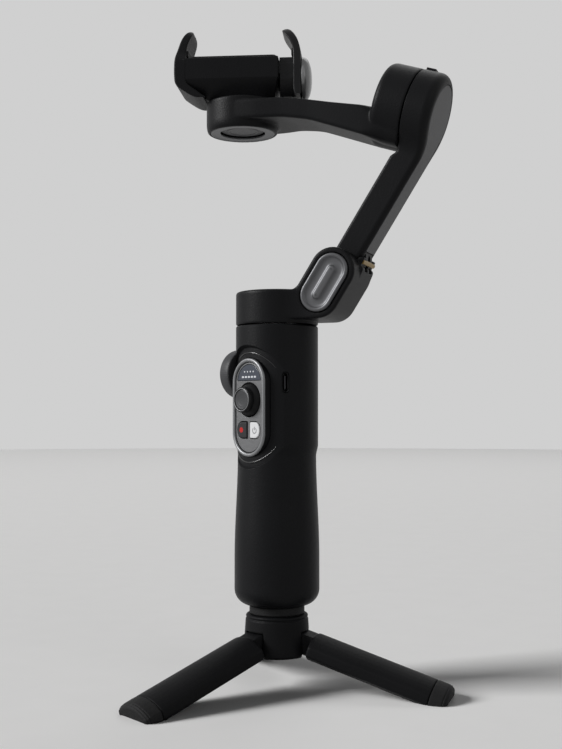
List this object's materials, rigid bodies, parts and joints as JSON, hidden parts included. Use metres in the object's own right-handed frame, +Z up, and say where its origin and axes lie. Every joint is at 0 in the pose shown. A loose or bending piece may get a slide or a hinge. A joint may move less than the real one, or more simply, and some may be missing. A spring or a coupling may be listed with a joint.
{
  "type": "phone gimbal stabilizer on mini tripod",
  "caption": "Handheld motorised phone gimbal: round grip with control panel, folding arm, tilt and roll drums and a sprung phone clamp, on a folding-leg mini tripod.",
  "frame": {"origin": "centre of the tripod hub's flat underside", "axes": "+Z up along the grip and the pan axis, +X the side the folding arm leans to, -Y the side the lock button faces"},
  "size_m": [0.1479, 0.1658, 0.3395],
  "materials": {
    "black_plastic": "fine-textured near-black plastic",
    "dark_plastic": "satin dark plastic",
    "grey_plastic": "satin grey plastic",
    "pale_plastic": "white plastic",
    "record_plastic": "dark plastic with a red dot",
    "gunmetal": "satin gunmetal",
    "rubber": "matt black rubber",
    "steel": "bright steel",
    "brass": "plain brass",
    "copper": "copper windings",
    "cell": "shrink-wrapped cell",
    "board": "circuit board",
    "smoked_lens": "smoked glossy window"
  },
  "bodies": {
    "handle": {"tripod_hub": "black_plastic", "leg_pin_1": "steel", "leg_pin_2": "steel", "leg_pin_3": "steel", "grip_seat": "rubber", "tripod_screw": "steel", "thread_insert": "brass", "grip_shell": "black_plastic", "inner_chassis": "dark_plastic", "battery_cell": "cell", "main_board": "board", "bezel_ring": "grey_plastic", "control_plate": "grey_plastic", "indicator_lens": "smoked_lens", "joystick_socket": "dark_plastic", "charge_port": "steel", "wheel_bracket": "dark_plastic", "pan_stator": "copper", "pan_bearing": "steel"},
    "leg_1": {"leg_1": "black_plastic", "leg_foot_1": "rubber"},
    "leg_2": {"leg_2": "black_plastic", "leg_foot_2": "rubber"},
    "leg_3": {"leg_3": "black_plastic", "leg_foot_3": "rubber"},
    "joystick_yoke": {"joystick_yoke": "dark_plastic"},
    "joystick_cap": {"joystick_cap": "dark_plastic"},
    "record_button": {"record_button": "record_plastic"},
    "power_button": {"power_button": "pale_plastic"},
    "zoom_wheel": {"zoom_wheel": "dark_plastic", "zoom_wheel_disc": "grey_plastic"},
    "pan_unit": {"pan_housing": "black_plastic", "fold_pin": "brass", "pan_shaft": "steel", "pan_rotor": "steel"},
    "fold_lock_button": {"fold_lock_button": "gunmetal"},
    "upper_arm": {"upper_arm": "black_plastic", "arm_cover": "dark_plastic", "tilt_stator": "copper"},
    "roll_arm": {"roll_arm": "black_plastic", "tilt_rotor": "steel", "tilt_shaft": "steel", "roll_cap_ring": "gunmetal", "roll_cap_disc": "gunmetal", "roll_stator": "copper"},
    "cradle": {"cradle_body": "black_plastic", "cradle_pad": "rubber", "fixed_jaw": "black_plastic", "fixed_jaw_pad": "rubber", "roll_rotor": "steel", "roll_shaft": "steel"},
    "sliding_jaw": {"sliding_jaw": "black_plastic", "sliding_jaw_pad": "rubber", "jaw_cap": "grey_plastic"}
  },
  "joints": [
    {"name": "leg_1_fold", "type": "hinge", "parent": "handle", "child": "leg_1", "pos_m": [-0.0047, -0.00883, 0.0075], "axis": [0.8829, -0.4695, 0], "range_deg": [0, 72.6]},
    {"name": "leg_2_fold", "type": "hinge", "parent": "handle", "child": "leg_2", "pos_m": [0.00999, 0.00035, 0.0075], "axis": [-0.0349, 0.9994, 0], "range_deg": [0, 72.6]},
    {"name": "leg_3_fold", "type": "hinge", "parent": "handle", "child": "leg_3", "pos_m": [-0.0053, 0.00848, 0.0075], "axis": [-0.848, -0.5299, 0], "range_deg": [0, 72.6]},
    {"name": "joystick_up_down", "type": "hinge", "parent": "handle", "child": "joystick_yoke", "pos_m": [-0.00681, -0.0128, 0.1285], "axis": [0.8829, -0.4695, 0], "range_deg": [-15, 15], "stiffness_Nm_per_rad": 0.02},
    {"name": "joystick_left_right", "type": "hinge", "parent": "joystick_yoke", "child": "joystick_cap", "pos_m": [-0.00681, -0.0128, 0.1285], "axis": [0, 0, 1], "range_deg": [-15, 15], "stiffness_Nm_per_rad": 0.02},
    {"name": "record_press", "type": "slide", "parent": "handle", "child": "record_button", "axis": [0.4695, 0.8829, 0], "range_m": [0, 0.0008], "stiffness_N_per_m": 2500, "springref_m": -0.0002},
    {"name": "power_press", "type": "slide", "parent": "handle", "child": "power_button", "axis": [0.4695, 0.8829, 0], "range_m": [0, 0.0008], "stiffness_N_per_m": 2500, "springref_m": -0.0002},
    {"name": "zoom_turn", "type": "hinge", "parent": "handle", "child": "zoom_wheel", "pos_m": [-0.02354, 0.00515, 0.142], "axis": [0.8829, -0.4695, 0], "continuous": true},
    {"name": "pan", "type": "hinge", "parent": "handle", "child": "pan_unit", "pos_m": [0, 0, 0.1665], "axis": [0, 0, 1], "range_deg": [-188, 132]},
    {"name": "fold_release", "type": "slide", "parent": "pan_unit", "child": "fold_lock_button", "axis": [0, 1, 0], "range_m": [0, 0.0015], "stiffness_N_per_m": 2000, "springref_m": -0.0003},
    {"name": "arm_fold", "type": "hinge", "parent": "pan_unit", "child": "upper_arm", "pos_m": [0.04647, 0, 0.19702], "axis": [0, 1, 0], "range_deg": [0, 140]},
    {"name": "tilt", "type": "hinge", "parent": "upper_arm", "child": "roll_arm", "pos_m": [0.07078, 0.0059, 0.27215], "axis": [0.9505, 0, -0.3107], "range_deg": [-70, 250]},
    {"name": "roll", "type": "hinge", "parent": "roll_arm", "child": "cradle", "pos_m": [-0.02142, 0.0059, 0.28465], "axis": [0, 0, 1], "range_deg": [-160, 160]},
    {"name": "jaw_slide", "type": "slide", "parent": "cradle", "child": "sliding_jaw", "axis": [0.9659, 0.2588, 0], "range_m": [0, 0.03], "stiffness_N_per_m": 150, "springref_m": -0.03}
  ]
}
